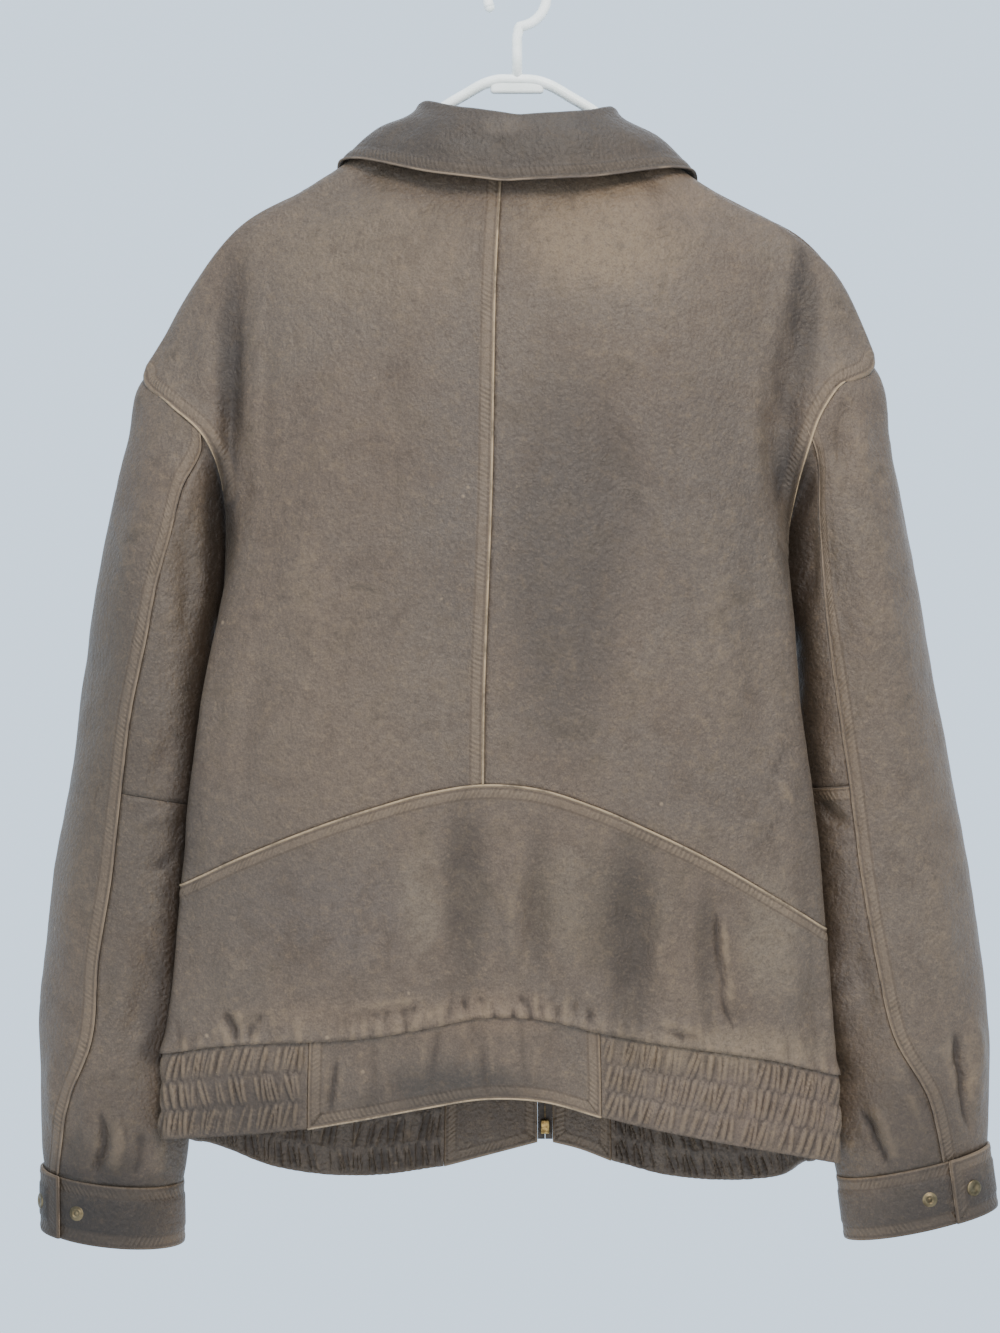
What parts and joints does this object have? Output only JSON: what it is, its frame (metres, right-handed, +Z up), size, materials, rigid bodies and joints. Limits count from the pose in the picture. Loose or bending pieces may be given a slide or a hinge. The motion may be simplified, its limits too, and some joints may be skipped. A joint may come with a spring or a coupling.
{
  "type": "leather bomber jacket on a tubular hanger",
  "caption": "Worn brown leather bomber jacket with a shirt collar, shirred waistband and buttoned-over snap cuffs, zipped, hanging on a white tubular hanger",
  "frame": {"origin": "inner top of the hanger's hook, where it hangs on a rod", "axes": "X to the jacket's right as seen from its back, Y from its back to its front, Z up"},
  "size_m": [0.7218, 0.1587, 0.9603],
  "materials": {
    "leather": "worn nubuck, mottled, with rubbed pale seam edges",
    "elastic": "shirred leather over elastic",
    "brass": "antiqued, dull",
    "tape": "woven zip tape",
    "plastic": "smooth off-white tube"
  },
  "bodies": {
    "jacket": {"back_left": "leather", "back_lower": "leather", "back_right": "leather", "collar": "leather", "cuff_left": "leather", "cuff_right": "leather", "front_left": "leather", "front_right": "leather", "hanger": "plastic", "sleeve_over_left": "leather", "sleeve_over_right": "leather", "sleeve_under_lower_left": "leather", "sleeve_under_lower_right": "leather", "sleeve_under_upper_left": "leather", "sleeve_under_upper_right": "leather", "snap_cap_left": "brass", "snap_cap_right": "brass", "snap_stud_left": "brass", "snap_stud_right": "brass", "waist_back": "leather", "waist_elastic_left": "elastic", "waist_elastic_right": "elastic", "waist_front_left": "leather", "waist_front_right": "leather", "zip_box": "brass", "zip_slider": "brass", "zip_tape_left": "tape", "zip_tape_right": "tape"},
    "pull": {"zip_pull": "brass"}
  },
  "joints": [
    {"name": "zip_pull_hinge", "type": "hinge", "parent": "jacket", "child": "pull", "pos_m": [-0.00249, 0.06905, -0.2595], "axis": [1, 0, 0], "range_deg": [0, 150]}
  ]
}
